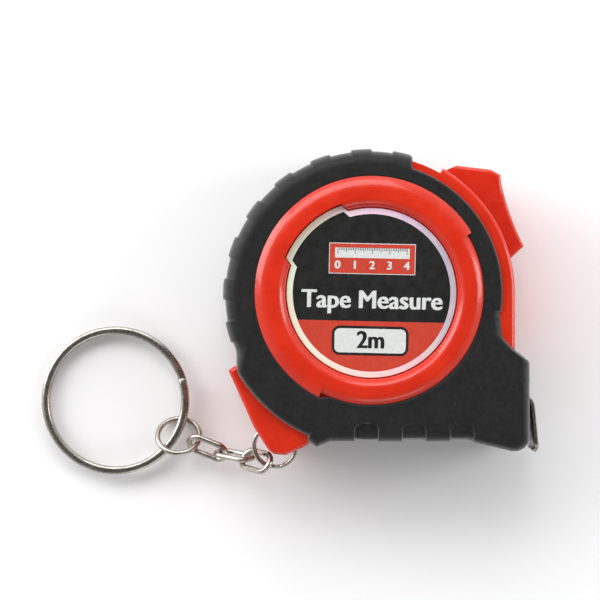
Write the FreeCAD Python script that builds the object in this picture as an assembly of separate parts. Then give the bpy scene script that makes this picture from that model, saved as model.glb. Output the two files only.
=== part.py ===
"""Pocket tape measure, 2 m, lying on its back, with a chain and a split key ring.

Millimetres. The origin is on the spindle axis, at the crest of the back ring. +X points to the
blade mouth, +Y to the top of the case and +Z out of the label. The case is two halves that meet
at a parting plane, so each half is drawn with its depth counted from that plane outwards, and
then placed on the front or mirrored to the back.
"""

import FreeCAD, Part
import math
import os

Vector = FreeCAD.Vector
UP = Vector(0, 0, 1)

# ---- blade and reel -------------------------------------------------------------------------
blade_length = 2000.0
blade_width = 13.0
blade_thickness = 0.14
hub_radius = 15.0
hub_wall = 0.7
flange_thickness = 0.6
flange_margin = 0.9  # flange beyond the full coil
blade_side_gap = 0.2  # coil edge to flange
spindle_radius = 3.0
running_clearance = 0.05
bearing_sleeve_wall = 1.2
bearing_sleeve_length = 0.9
spring_thickness = 0.25
spring_pitch = 0.36
spring_turns = 6
spring_side_gap = 0.35
spindle_slot = 0.6

# ---- case, outwards from the spindle axis ---------------------------------------------------
reel_room = 2.1  # flange rim to case wall
shell_wall = 1.6
lock_room = 0.95  # extra room for the brake tongue behind the rail
rubber_side = 1.48
grip_centre = (-0.3, -0.4)  # the round jacket sits low and back round the case
grip_recess = 0.4
base_step = 0.4  # flat base beyond the round wall
nose_overhang = 2.4  # nose front beyond the rail
nose_shoulder = 9.4  # top of the nose, below the spindle axis
nose_foot = 1.5  # toe of the nose, below the base
mouth_height = 2.6
mouth_rise = 1.5  # mouth top above the blade
mouth_half_width = 7.0

# ---- case, depth outwards from the parting plane --------------------------------------------
flange_end_gap = 0.6
plate_thickness = 1.4
rubber_face = 0.8
ring_height = 1.6
parting_strip = 1.2  # bare shell between the rubber and the parting plane
lug_half_thickness = 8.4
label_thickness = 0.3
label_recess_radius = 13.95
label_step = 1.2  # the label's wider sector
label_clearance = 0.25
ring_radius = 18.9
ring_step = 0.8  # narrower sector of the raised ring
ring_lip = 0.45  # height of the lip beside the label
crest_start = 15.5  # the ring's flat crest, between these radii
crest_end = 16.4
ring_rim_height = 0.75  # the ring's outer edge
ring_wide_start, ring_wide_end = 31.0, 243.0
band_margin = 2.3  # rubber band beside the rail, beyond the ring

# ---- rubber jacket --------------------------------------------------------------------------
block_first = 77.1  # middle of the first grip block, degrees
block_pitch = 16.9
block_width = 8.3
block_count = 8
wall_fillet = 2.2
corner_reach = 1.1  # rubber over the lug, beyond the grip radius
pad_middles = (-0.8, 6.9, 14.7)
pad_half_width = 2.0
pad_height = 2.6
pad_face_depth = 0.3
pad_side_depth = 0.5

# ---- screws ---------------------------------------------------------------------------------
post_radius = 1.65
post_gap = 0.2
screw_radius = 0.9
screw_hole_gap = 0.15
head_radius = 1.5
head_height = 1.1
head_gap = 0.15
rubber_screw_hole = 2.1
screw_angles = (84.0, 165.0, 225.0)
nose_screw_inset = 4.2  # nose screw from the nose front
nose_screw_rise = 2.2  # nose screw above the base wall's outside

# ---- thumb lock -----------------------------------------------------------------------------
lock_travel = 8.5  # degrees round the rail
rail_end = 60.0  # the rail's upper end, degrees
tongue_room_span = (-56.0, 62.0)
lock_half_width = 6.0
lock_gap = 0.12
lock_neck_angles = (31.0, 45.0)
lock_neck_half_width = 3.0
tongue_thickness = 0.78
tongue_top_angle = 50.0
tongue_blade_gap = 0.05

# ---- hook -----------------------------------------------------------------------------------
hook_thickness = 0.8
hook_half_width = 6.0
hook_tab_length = 10.0
hook_tab_half_width = 5.4
hook_gap = 0.06
hook_play = 0.8
hook_stand = 0.32  # the hook's plate stands off the nose
hook_lean = 0.6
hook_lip = 0.7
rivet_radius = 0.75
rivet_head_radius = 1.4
rivet_head_height = 0.4
rivet_first = 7.6  # from the hook plate
rivet_spacing = 4.2

# ---- lug and chain --------------------------------------------------------------------------
lug_corners = (  # reach beyond the grip radius, degrees
    (2.62, 208.5),
    (5.22, 229.0),
    (6.72, 236.8),
    (6.82, 238.8),
    (6.02, 242.2),
    (3.62, 246.3),
    (2.52, 247.9),
)
lug_root = ((-7.0, -16.0), (-16.0, -8.0))  # inside the case
lug_edge_fillet = 0.7
lug_pin_radius = 0.9
lug_pin_angle = 238.3
lug_pin_reach = 3.97  # pin axis beyond the grip radius
lug_slot_half = 1.7
lug_slot_radius = 11.45
lug_slot_wall = 1.4  # between the slot and the round wall
lug_ring_outer = 3.85
lug_ring_wire = 0.7
lug_ring_offset = 2.0  # ring centre from the pin
lug_ring_lean = 237.0  # direction of the ring from the pin
lug_ring_tilt = 6.0
lug_ring_exit = 233.0  # where the first link hooks on
link_inner_length = 5.6
link_inner_width = 2.2
link_wire = 1.0
link_gap = 0.45
link_headings = (168.0, 171.0, 159.0)  # from the lug outwards
link_dips = (49.0, 30.0, 6.0)  # scaled so that the jump ring reaches the floor
link_rolls = (20.0, 75.0, -40.0)
jump_ring_outer = 4.0
jump_ring_wire = 0.9
jump_ring_tilt = 38.0
jump_ring_hold = -28.0  # where the last link hooks on, round the ring
key_ring_outer = 12.5
key_ring_wire = 1.4
key_ring_thickness = 2.0
key_ring_heading = 151.0
key_ring_offset = 0.45  # ring's middle line beyond the jump ring's centre
key_ring_lift = 1.15

# ---- sizes that follow ----------------------------------------------------------------------
coil_radius = math.sqrt(hub_radius**2 + blade_length * blade_thickness / math.pi)
flange_radius = coil_radius + flange_margin
cavity_radius = flange_radius + reel_room
shell_radius = cavity_radius + shell_wall
tongue_radius = cavity_radius + lock_room
rail_radius = tongue_radius + shell_wall
grip_radius = shell_radius + rubber_side
band_radius = ring_radius + band_margin
nose_reach = rail_radius + nose_overhang
nose_front = nose_reach - rubber_side
base_wall = shell_radius + base_step
base_reach = base_wall + rubber_side

flange_depth = blade_width / 2 + blade_side_gap
reel_depth = flange_depth + flange_thickness
cavity_depth = reel_depth + flange_end_gap
plate_depth = cavity_depth + plate_thickness
rubber_depth = plate_depth + rubber_face
ring_depth = plate_depth + ring_height
parting_z = ring_depth
socket_depth = cavity_depth + plate_thickness * 0.6

link_length = link_inner_length + 2 * link_wire
link_width = link_inner_width + 2 * link_wire
post_circle = flange_radius + post_gap + post_radius
blade_top = -coil_radius
blade_bottom = blade_top - blade_thickness
mouth_top = blade_top + mouth_rise
mouth_bottom = mouth_top - mouth_height


# ---- helpers --------------------------------------------------------------------------------
def polar(radius, angle, depth=0.0):
    """The point at a radius and an angle round the spindle axis."""
    turn = math.radians(angle)
    return Vector(radius * math.cos(turn), radius * math.sin(turn), depth)


def disc(radius, low, high, at=(0.0, 0.0)):
    """A round bar along Z."""
    return Part.makeCylinder(radius, high - low, Vector(at[0], at[1], low))


def sector(radius, start, end, low, high, inner=0.0):
    """A pie slice of a disc, or of a tube if it has an inner radius."""
    slice_ = Part.makeCylinder(radius, high - low, Vector(0, 0, low), UP, end - start)
    slice_.rotate(Vector(), UP, start)
    if inner:
        slice_ = slice_.cut(disc(inner, low - 1, high + 1))
    return slice_


def across(radius, x, low, high):
    """A round bar along Y, on the parting plane."""
    return Part.makeCylinder(radius, high - low, Vector(x, low, parting_z), Vector(0, 1, 0))


def block(x, y, z):
    """A box between two values on each axis."""
    return Part.makeBox(x[1] - x[0], y[1] - y[0], z[1] - z[0], Vector(x[0], y[0], z[0]))


def prism(points, low, high):
    """A flat outline of straight sides, pushed from one depth to another."""
    corners = [Vector(p[0], p[1], low) for p in points]
    face = Part.Face(Part.makePolygon(corners + corners[:1]))
    return face.extrude(Vector(0, 0, high - low))


def plate(edges, low, high):
    """A flat outline of lines and arcs at depth 0, pushed from one depth to another."""
    solid = Part.Face(Part.Wire(edges)).extrude(Vector(0, 0, high - low))
    solid.translate(Vector(0, 0, low))
    return solid


def line(a, b):
    return Part.LineSegment(a, b).toShape()


def arc(a, middle, b):
    return Part.Arc(a, middle, b).toShape()


def arc_round(radius, start, end):
    """An arc about the spindle axis."""
    return arc(polar(radius, start), polar(radius, (start + end) / 2), polar(radius, end))


def joined(first, *others):
    """Solids fused into one, with the seams between coplanar faces removed."""
    return first.multiFuse(list(others)).removeSplitter()


def rounded(solid, radius, chosen):
    """The solid with a fillet on each edge that the test picks."""
    return solid.makeFillet(radius, [edge for edge in solid.Edges if chosen(edge)])


def at_depth(depth):
    """A test for edges that lie flat at one depth."""
    return lambda edge: all(abs(v.Z - depth) < 1e-6 for v in edge.Vertexes) and (
        abs(edge.CenterOfMass.z - depth) < 1e-6
    )


def upright(edge):
    """True for an edge that runs along Z."""
    box = edge.BoundBox
    return box.ZLength > 0.5 and box.XLength < 1e-6 and box.YLength < 1e-6


def on_front(half):
    """A half drawn from the parting plane outwards, placed on the front."""
    placed = half.copy()
    placed.translate(Vector(0, 0, parting_z))
    return placed


def on_back(half):
    """The same half mirrored to the back."""
    placed = half.mirror(Vector(), UP)
    placed.translate(Vector(0, 0, parting_z))
    return placed


# ---- case outline ---------------------------------------------------------------------------
def shell_outline(low, high):
    """The bare case without its lug: round wall, rail beside the lock, and nose."""
    nose = [
        (0, 0),
        (rail_radius, 0),
        (rail_radius, -nose_shoulder),
        (nose_front, -nose_shoulder - 1.2),
        (nose_front, -base_wall - 1.0),
        (nose_front - 1.8, -base_wall - nose_foot),
        (nose_front - 8.5, -base_wall),
        (-9.0, -base_wall),
    ]
    round_wall = disc(shell_radius, low, high)
    rail = sector(rail_radius, 0, rail_end, low, high)
    return joined(round_wall, rail, prism(nose, low, high))


def lug_outline(low, high):
    """The corner that carries the key chain, as points beyond the grip radius."""
    corner = [polar(grip_radius + reach, angle) for reach, angle in lug_corners]
    corner += [Vector(x, y) for x, y in lug_root]
    return prism(corner, low, high)


def label_shape(radius, low, high):
    """The label's outline: a disc with one wider sector whose ends are slanted steps."""
    wide = radius + label_step
    edges = [
        arc_round(radius, 161, 360 + 106),
        line(polar(radius, 106), polar(wide, 109)),
        arc_round(wide, 109, 157.7),
        line(polar(wide, 157.7), polar(radius, 161)),
    ]
    return plate(edges, low, high)


def raised_ring(outer, start, end):
    """A stretch of the raised ring: a lip beside the label, a flat crest and a rounded outer slope."""

    def at(radius, height):
        return Vector(radius, 0, plate_depth + height)

    def crown(level, side, side_height):
        """An arc that leaves the flat crest level and comes down to a side."""
        run, drop = side - level, ring_height - side_height
        bend = (run**2 + drop**2) / (2 * drop)
        part_drop = bend - math.sqrt(bend**2 - (0.6 * run) ** 2)
        middle = at(level + 0.6 * run, ring_height - part_drop)
        return arc(at(level, ring_height), middle, at(side, side_height))

    inner = label_recess_radius
    root = -0.5
    profile = [
        line(at(inner, root), at(inner, ring_lip)),
        crown(crest_start, inner, ring_lip),
        line(at(crest_start, ring_height), at(crest_end, ring_height)),
        crown(crest_end, outer, ring_rim_height),
        line(at(outer, ring_rim_height), at(outer, root)),
        line(at(outer, root), at(inner, root)),
    ]
    stretch = Part.Face(Part.Wire(profile)).revolve(Vector(), UP, end - start)
    stretch.rotate(Vector(), UP, start)
    return stretch


def screw_places():
    """The four screws: three round the reel and one in the nose."""
    places = [polar(post_circle, angle) for angle in screw_angles]
    places.append(Vector(nose_reach - rubber_side - nose_screw_inset, -base_wall + nose_screw_rise, 0))
    return places


# ---- shells ---------------------------------------------------------------------------------
def half_shell():
    """What both shells share, hollow towards the parting plane."""
    body = shell_outline(0, plate_depth)

    def rail_rim(edge):
        middle = edge.CenterOfMass
        on_arc = edge.Curve.TypeId == "Part::GeomCircle" and abs(edge.Curve.Radius - rail_radius) < 1e-6
        on_line = abs(middle.x - rail_radius) < 1e-6
        return at_depth(plate_depth)(edge) and (on_arc or on_line)

    body = rounded(body, 0.7, rail_rim)
    lug = lug_outline(0, lug_half_thickness)
    lug = rounded(lug, 0.9, lambda edge: upright(edge) and edge.CenterOfMass.Length > grip_radius + 3)
    lug = rounded(lug, lug_edge_fillet, at_depth(lug_half_thickness))
    wide_ring = raised_ring(ring_radius, ring_wide_start, ring_wide_end)
    narrow_ring = raised_ring(ring_radius - ring_step, ring_wide_end, ring_wide_start + 360)
    body = joined(body, lug, wide_ring, narrow_ring)

    hollow = disc(cavity_radius, -1, cavity_depth)
    tongue_room = sector(tongue_radius, *tongue_room_span, -1, cavity_depth, inner=cavity_radius - 1)
    lock_slot = sector(
        rail_radius + 3,
        lock_neck_angles[0] - lock_travel - 1.5,
        lock_neck_angles[1] + 1.5,
        -1,
        lock_neck_half_width + 0.2,
        inner=cavity_radius - 1,
    )
    mouth = block((10, nose_reach + 2), (mouth_bottom, mouth_top), (-1, mouth_half_width))
    slot_at = polar(grip_radius + lug_pin_reach + 5, lug_pin_angle)
    slot_room = disc(lug_slot_radius, -1, lug_slot_half, at=slot_at)
    slot_room = slot_room.cut(disc(shell_radius + lug_slot_wall, -2, lug_slot_half + 1))
    nose_pocket = block(
        (13.0, nose_front - shell_wall),
        (-base_wall + shell_wall, mouth_bottom - 0.9),
        (-1, cavity_depth),
    )
    body = body.cut(hollow).cut(tongue_room).cut(lock_slot).cut(mouth).cut(slot_room).cut(nose_pocket)

    boss = disc(spindle_radius + 1.6, reel_depth + 0.1, plate_depth - 0.2)
    posts = [disc(post_radius, 0, plate_depth - 0.2, at=place) for place in screw_places()]
    body = joined(body, boss, *posts)
    pin_at = polar(grip_radius + lug_pin_reach, lug_pin_angle)
    pin_hole = disc(lug_pin_radius, -1, lug_half_thickness - 1.6, at=pin_at)
    socket = disc(spindle_radius, -1, socket_depth)
    return body.cut(pin_hole).cut(socket)


def front_shell():
    body = half_shell()
    body = body.cut(label_shape(label_recess_radius, plate_depth, ring_depth + 1))
    for place in screw_places():
        body = body.cut(disc(screw_radius, -1, cavity_depth - 0.9, at=place))
    return on_front(body)


def back_shell():
    body = half_shell()
    for place in screw_places():
        body = body.cut(disc(screw_radius + screw_hole_gap, -1, plate_depth + 1, at=place))
        seat = plate_depth - head_height - 0.1
        body = body.cut(disc(head_radius + head_gap, seat, plate_depth + 1, at=place))
    return on_back(body)


# ---- rubber jacket --------------------------------------------------------------------------
def soft_sector(radius, start, end, fillet, centre=(0.0, 0.0)):
    """A slice of a disc with a rounded outer edge, from the parting strip up to the rubber's face."""
    soft = rounded(disc(radius, parting_strip, rubber_depth, at=centre), fillet, at_depth(rubber_depth))
    return soft.common(sector(radius + 1, start, end, 0, rubber_depth + 1))


def grip_base():
    """The rubber along the base and round the nose."""
    toe = -base_reach - nose_foot
    outline = [
        (-8.0, -11.0),
        (-10.4, -base_reach + 0.2),
        (-9.0, -base_reach - 0.9),
        (-6.8, -base_reach),
        (nose_reach - 9.8, -base_reach),
        (nose_reach - 2.7, toe),
        (nose_reach, toe),
        (nose_reach, -nose_shoulder - 1.7),
        (rail_radius + 0.15, -nose_shoulder),
        (band_radius + 0.2, -nose_shoulder + 2.1),
        (14.0, -5.0),
    ]
    base = prism(outline, parting_strip, rubber_depth)
    base = rounded(base, 1.9, lambda edge: upright(edge) and edge.CenterOfMass.x > nose_reach - 0.1
                   and edge.CenterOfMass.y < -base_reach)
    return rounded(base, 1.2, at_depth(rubber_depth))


def base_pad(x):
    """A D-shaped dent that runs over the base's edge."""
    half = pad_half_width
    foot = -base_reach - 1
    top = -base_reach + pad_height
    edges = [
        line(Vector(x - half, foot), Vector(x + half, foot)),
        line(Vector(x + half, foot), Vector(x + half, top - 0.9)),
        arc(Vector(x + half, top - 0.9), Vector(x, top), Vector(x - half, top - 0.9)),
        line(Vector(x - half, top - 0.9), Vector(x - half, foot)),
    ]
    face_dent = plate(edges, rubber_depth - pad_face_depth, rubber_depth + 1)
    side_dent = block(
        (x - half, x + half), (foot, -base_reach + pad_side_depth), (parting_strip + 1, rubber_depth + 1)
    )
    return joined(face_dent, side_dent)


def half_grip():
    """Half of the rubber jacket: a round wall with grip blocks, the base and a thin band."""
    wall = soft_sector(grip_radius - grip_recess, 72, 212, wall_fillet, grip_centre)
    blocks = []
    for number in range(block_count):
        start = block_first + number * block_pitch - block_width / 2
        blocks.append(soft_sector(grip_radius, start, start + block_width, wall_fillet, grip_centre))
    corner = soft_sector(grip_radius + corner_reach, 205, 250, 1.0, grip_centre)
    band = soft_sector(band_radius, -26, 73, 0.4)
    body = joined(wall, *blocks, corner, band, grip_base())

    for x in pad_middles:
        body = body.cut(base_pad(x))
    body = body.cut(shell_outline(-1, plate_depth)).cut(lug_outline(-1, lug_half_thickness))
    wide = sector(ring_radius, ring_wide_start, ring_wide_end, 0, ring_depth)
    narrow = sector(ring_radius - ring_step, ring_wide_end, ring_wide_start + 360, 0, ring_depth)
    mouth = block((10, nose_reach + 2), (mouth_bottom, mouth_top), (-1, mouth_half_width))
    return body.cut(wide).cut(narrow).cut(mouth)


def front_grip():
    return on_front(half_grip())


def back_grip():
    body = half_grip()
    for place in screw_places():
        body = body.cut(disc(rubber_screw_hole, 0, rubber_depth + 1, at=place))
    return on_back(body)


# ---- other pieces of the case ---------------------------------------------------------------
def front_label():
    radius = label_recess_radius - label_clearance
    return on_front(label_shape(radius, plate_depth, plate_depth + label_thickness))


def screw(place):
    """A self-tapping screw from the back, with a cross recess."""
    seat = parting_z - (plate_depth - head_height - 0.1)
    head = rounded(disc(head_radius, seat - head_height, seat), 0.35, at_depth(seat - head_height))
    shank = disc(screw_radius, seat - 0.1, parting_z + cavity_depth - 2.0)
    body = joined(head, shank)
    for half_x, half_y in ((0.9, 0.2), (0.2, 0.9)):
        body = body.cut(block((-half_x, half_x), (-half_y, half_y), (seat - head_height - 1, seat - 0.4)))
    body.translate(Vector(place.x, place.y, 0))
    return body


def case_screws():
    return Part.makeCompound([screw(place) for place in screw_places()])


def lug_pin():
    reach = lug_half_thickness - 1.6
    at = polar(grip_radius + lug_pin_reach, lug_pin_angle)
    return disc(lug_pin_radius, parting_z - reach, parting_z + reach, at=at)


# ---- reel -----------------------------------------------------------------------------------
def spindle():
    """A fixed post with a slot that holds the spring's inner end."""
    post = disc(spindle_radius, parting_z - socket_depth, parting_z + socket_depth)
    slot = block(
        (-spindle_radius - 1, -0.6),
        (-spindle_slot / 2, spindle_slot / 2),
        (parting_z - flange_depth, parting_z + flange_depth),
    )
    return post.cut(slot)


def reel_drum():
    """The spool: a hub wall and its back flange, with a sleeve that runs on the spindle."""
    low, high = parting_z - flange_depth, parting_z + flange_depth
    flange = disc(flange_radius, low - flange_thickness, low)
    hub = disc(hub_radius, low, high).cut(disc(hub_radius - hub_wall, low, high + 1))
    sleeve = disc(spindle_radius + bearing_sleeve_wall, low, low + bearing_sleeve_length - flange_thickness)
    body = joined(flange, hub, sleeve)
    return body.cut(disc(spindle_radius + running_clearance, 0, parting_z))


def reel_flange():
    """The disc that closes the spool, with a rim that seats inside the hub."""
    high = parting_z + flange_depth
    flange = disc(flange_radius, high, high + flange_thickness)
    rim_outer = hub_radius - hub_wall
    rim = disc(rim_outer, high - 0.3, high).cut(disc(rim_outer - 0.6, high - 1, high + 1))
    body = joined(flange, rim)
    return body.cut(disc(spindle_radius + running_clearance, high - 1, high + flange_thickness + 1))


def power_spring():
    """A flat spiral: close turns against the hub, then a tail to the spindle's slot."""
    outermost = hub_radius - hub_wall - 0.8
    radii = [outermost - half_turn * spring_pitch / 2 for half_turn in range(2 * spring_turns)]
    inner_end = spindle_radius + 0.3
    tail = radii[-1] - inner_end
    radii += [radii[-1] - tail * share for share in (0.28, 0.56, 0.78)]
    half = spring_thickness / 2
    outer_edges, inner_edges = [], []
    start, side = radii[0], 1
    for radius in radii:
        centre = start - side * radius
        for edges, rim in ((outer_edges, radius + half), (inner_edges, radius - half)):
            a = Vector(centre + side * rim, 0, 0)
            middle = Vector(centre, side * rim, 0)
            b = Vector(centre - side * rim, 0, 0)
            edges.append(arc(a, middle, b))
        start = centre - side * radius
        side = -side
    first_cap = line(Vector(radii[0] - half, 0), Vector(radii[0] + half, 0))
    end_cap = line(Vector(start - half, 0), Vector(start + half, 0))
    low, high = parting_z - flange_depth + spring_side_gap, parting_z + flange_depth - spring_side_gap
    spiral = plate(Part.sortEdges(outer_edges + inner_edges + [first_cap, end_cap])[0], low, high)
    tab = block((start, -1.2), (-half, half), (low, high))
    return joined(spiral, tab)


def blade_coil():
    low, high = parting_z - blade_width / 2, parting_z + blade_width / 2
    return disc(coil_radius, low, high).cut(disc(hub_radius, low - 1, high + 1))


def blade_lead():
    """The straight stretch of blade from the coil to the hook, with its two rivet holes."""
    strip = block(
        (0, nose_reach - 0.6),
        (blade_bottom, blade_top),
        (parting_z - blade_width / 2, parting_z + blade_width / 2),
    )
    for x in rivet_places():
        strip = strip.cut(across(rivet_radius, x, blade_bottom - 1, blade_top + 1))
    return strip


def hook_side():
    """The hook's bent strip, seen along Z: tab on the blade, corner, leaning plate and lip."""
    tab_low = blade_top + hook_gap
    tab_high = tab_low + hook_thickness
    rear = nose_reach + hook_gap - hook_tab_length
    back = nose_reach + hook_gap + hook_stand
    front = back + hook_thickness
    foot = -base_reach - nose_foot + 0.2
    low_back, low_front = back + hook_lean, front + hook_lean
    return [
        (rear, tab_low),
        (back - 0.6, tab_low),
        (back - 0.15, tab_low - 0.2),
        (back + 0.05, tab_low - 0.7),
        (low_back, foot + 0.6),
        (low_back - hook_lip * 0.5, foot - 0.2),
        (low_back - hook_lip * 0.35, foot - 0.75),
        (low_front - hook_lip * 0.5, foot - 0.6),
        (low_front, foot + 0.3),
        (front + 0.05, tab_high - 1.0),
        (front - 0.15, tab_high - 0.4),
        (front - 0.5, tab_high - 0.05),
        (front - 0.8, tab_high),
        (rear, tab_high),
    ]


def end_hook():
    strip = prism(hook_side(), parting_z - hook_half_width, parting_z + hook_half_width)
    rear = nose_reach + hook_gap - hook_tab_length
    for side in (-1, 1):
        edge = sorted((parting_z + side * hook_tab_half_width, parting_z + side * (hook_half_width + 1)))
        strip = strip.cut(block((rear - 1, nose_reach - 0.4), (blade_bottom, mouth_top + 1), edge))
    for middle in rivet_places():
        # the slots leave the hook free to move outwards by its own thickness
        for shift in (0.0, -hook_play):
            strip = strip.cut(across(rivet_radius + 0.1, middle + shift, blade_bottom - 1, mouth_top))
        half = rivet_radius + 0.1
        width = (parting_z - half, parting_z + half)
        strip = strip.cut(block((middle - hook_play, middle), (blade_bottom - 1, mouth_top), width))
    return strip


def rivet_places():
    """The two rivets' places along the blade."""
    first = nose_reach - rivet_first
    return (first, first + rivet_spacing)


def hook_rivets():
    """Two rivets, with a head above the hook's tab and one under the blade."""
    top = blade_top + hook_gap + hook_thickness + 0.05
    rivets = []
    for x in rivet_places():
        parts = []
        for low, high, radius in (
            (blade_bottom - rivet_head_height, blade_bottom, rivet_head_radius),
            (blade_bottom, top, rivet_radius),
            (top, top + rivet_head_height, rivet_head_radius),
        ):
            parts.append(across(radius, x, low, high))
        rivets.append(joined(*parts))
    return Part.makeCompound(rivets)


# ---- thumb lock -----------------------------------------------------------------------------
def lock_button():
    """The thumb piece on the rail, its neck through the wall and the tongue that brakes the blade."""
    under = rail_radius + lock_gap
    heel = polar(under, 58.7)
    ramp = polar(rail_radius + 1.8, 56.0)
    ridge = polar(rail_radius + 4.85, 45.7)
    peak = polar(rail_radius + 5.35, 42.3)
    hollow_top = polar(rail_radius + 4.3, 39.0)
    hollow = polar(rail_radius + 2.75, 28.0)
    toe = polar(rail_radius + 2.85, 17.0)
    tip = polar(under, 13.6)
    edges = [
        line(heel, ramp),
        line(ramp, ridge),
        line(ridge, peak),
        line(peak, hollow_top),
        arc(hollow_top, hollow, toe),
        line(toe, tip),
        arc(tip, polar(under, 36.0), heel),
    ]
    low, high = parting_z - lock_half_width, parting_z + lock_half_width
    button = plate(edges, low, high)

    def outer_rim(edge):
        far = edge.CenterOfMass
        beyond = math.hypot(far.x, far.y) > rail_radius + 1.0
        return beyond and (at_depth(low)(edge) or at_depth(high)(edge))

    button = rounded(button, 0.6, outer_rim)
    neck_low, neck_high = parting_z - lock_neck_half_width, parting_z + lock_neck_half_width
    outer = tongue_radius - 0.12
    inner = outer - tongue_thickness
    neck = sector(under + 0.4, lock_neck_angles[0], lock_neck_angles[1], neck_low, neck_high, inner=inner)
    brake_reach = (coil_radius - tongue_blade_gap) / outer
    tongue_end = lock_travel - math.degrees(math.asin(brake_reach))
    tongue = sector(outer, tongue_end, tongue_top_angle, neck_low, neck_high, inner=inner)
    return joined(button, neck, tongue)


# ---- key chain ------------------------------------------------------------------------------
def heading(yaw, dip):
    """A direction: yaw round Z, then dipping towards the floor."""
    flat, down = math.cos(math.radians(dip)), math.sin(math.radians(dip))
    turn = math.radians(yaw)
    return Vector(flat * math.cos(turn), flat * math.sin(turn), -down)


def frame_along(direction, roll):
    """A rotation that turns X onto the direction, and Z upwards and then by the roll."""
    level = UP.cross(direction).normalize()
    top = direction.cross(level)
    frame = FreeCAD.Rotation(direction, level, top, "XYZ")
    return frame.multiply(FreeCAD.Rotation(Vector(1, 0, 0), roll))


def chain_places(dip_scale):
    """Centres and rotations from the lug ring to the key ring, each hooked on the one before."""
    places = {}
    pin = polar(grip_radius + lug_pin_reach, lug_pin_angle, parting_z)
    lean = heading(lug_ring_lean, lug_ring_tilt)
    centre = pin + lean * lug_ring_offset
    tilted = frame_along(lean, 0)
    ring_line = lug_ring_outer - lug_ring_wire / 2
    places["lug_ring"] = (centre, tilted)

    exit_turn = math.radians(lug_ring_exit - lug_ring_lean)
    hooked = centre + tilted.multVec(Vector(math.cos(exit_turn), math.sin(exit_turn), 0)) * ring_line
    hooked_wire = lug_ring_wire  # two turns deep
    places["hooks"] = [hooked]
    inner_half = link_length / 2 - link_wire
    for number, yaw, dip, roll in zip((3, 2, 1), link_headings, link_dips, link_rolls):
        along = heading(yaw, dip * dip_scale)
        middle = hooked + along * (inner_half - hooked_wire - link_gap)
        places[f"chain_link_{number}"] = (middle, frame_along(along, roll))
        hooked = middle + along * (link_length / 2 - link_wire / 2)
        hooked_wire = link_wire / 2
        places["hooks"].append(hooked)

    held = middle + along * (inner_half - jump_ring_wire / 2 - link_gap)
    tilt = FreeCAD.Rotation(Vector(1, 0, 0), -jump_ring_tilt)
    turn = math.radians(jump_ring_hold)
    out = tilt.multVec(Vector(math.cos(turn), math.sin(turn), 0))
    jump_centre = held - out * (jump_ring_outer - jump_ring_wire / 2)
    places["hooks"][-1] = held
    places["jump_ring"] = (jump_centre, tilt)

    ring_line = key_ring_outer - key_ring_wire / 2
    rise = math.degrees(math.asin(key_ring_lift / (2 * ring_line)))
    back = heading(key_ring_heading, rise)
    flat = heading(key_ring_heading, 0)
    key_centre = Vector(jump_centre.x, jump_centre.y, 0) + flat * (ring_line + key_ring_offset)
    key_centre.z = key_ring_outer * math.sin(math.radians(rise)) + key_ring_thickness / 2
    places["key_ring"] = (key_centre, frame_along(back, 0))
    return places


def settled_chain():
    """The chain with its links dipping just enough to lay the jump ring on the floor."""
    ring_line = jump_ring_outer - jump_ring_wire / 2
    wanted = ring_line * math.sin(math.radians(jump_ring_tilt)) + jump_ring_wire / 2
    low, high = 0.2, 1.8
    for _ in range(40):
        middle = (low + high) / 2
        if chain_places(middle)["jump_ring"][0].z > wanted:
            low = middle
        else:
            high = middle
    return chain_places(low)


def oval_link(centre, turned):
    """A welded link: two half rings and two straight sides."""
    bow = (link_width - link_wire) / 2
    half_side = (link_length - link_width) / 2
    wire = link_wire / 2
    pieces = []
    for side in (-1, 1):
        half_ring = Part.makeTorus(bow, wire, Vector(), UP, -180, 180, 180)
        half_ring.rotate(Vector(), UP, -90 * side)
        half_ring.translate(Vector(side * half_side, 0, 0))
        pieces.append(half_ring)
        pieces.append(
            Part.makeCylinder(wire, 2 * half_side, Vector(-half_side, side * bow, 0), Vector(1, 0, 0))
        )
    link = joined(*pieces)
    link.Placement = FreeCAD.Placement(centre, turned)
    return link


def split_ring(outer, wire, thickness, centre, turned):
    """Two flat turns of wire, one on the other, with a groove between them."""
    inner, half, corner = outer - wire, thickness / 2, 0.25
    section = [
        (inner + corner, -half),
        (outer - corner, -half),
        (outer, -half + corner),
        (outer, -0.12),
        (outer - 0.15, 0.0),
        (outer, 0.12),
        (outer, half - corner),
        (outer - corner, half),
        (inner + corner, half),
        (inner, half - corner),
        (inner, 0.12),
        (inner + 0.15, 0.0),
        (inner, -0.12),
        (inner, -half + corner),
    ]
    corners = [Vector(radius, 0, height) for radius, height in section]
    ring = Part.Face(Part.makePolygon(corners + corners[:1])).revolve(Vector(), UP, 360)
    ring.Placement = FreeCAD.Placement(centre, turned)
    return ring


CHAIN = settled_chain()


def lug_ring():
    return split_ring(lug_ring_outer, lug_ring_wire, 2 * lug_ring_wire, *CHAIN["lug_ring"])


def key_ring():
    return split_ring(key_ring_outer, key_ring_wire, key_ring_thickness, *CHAIN["key_ring"])


def jump_ring():
    centre, turned = CHAIN["jump_ring"]
    ring = Part.makeTorus(jump_ring_outer - jump_ring_wire / 2, jump_ring_wire / 2)
    ring.Placement = FreeCAD.Placement(centre, turned)
    return ring


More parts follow.
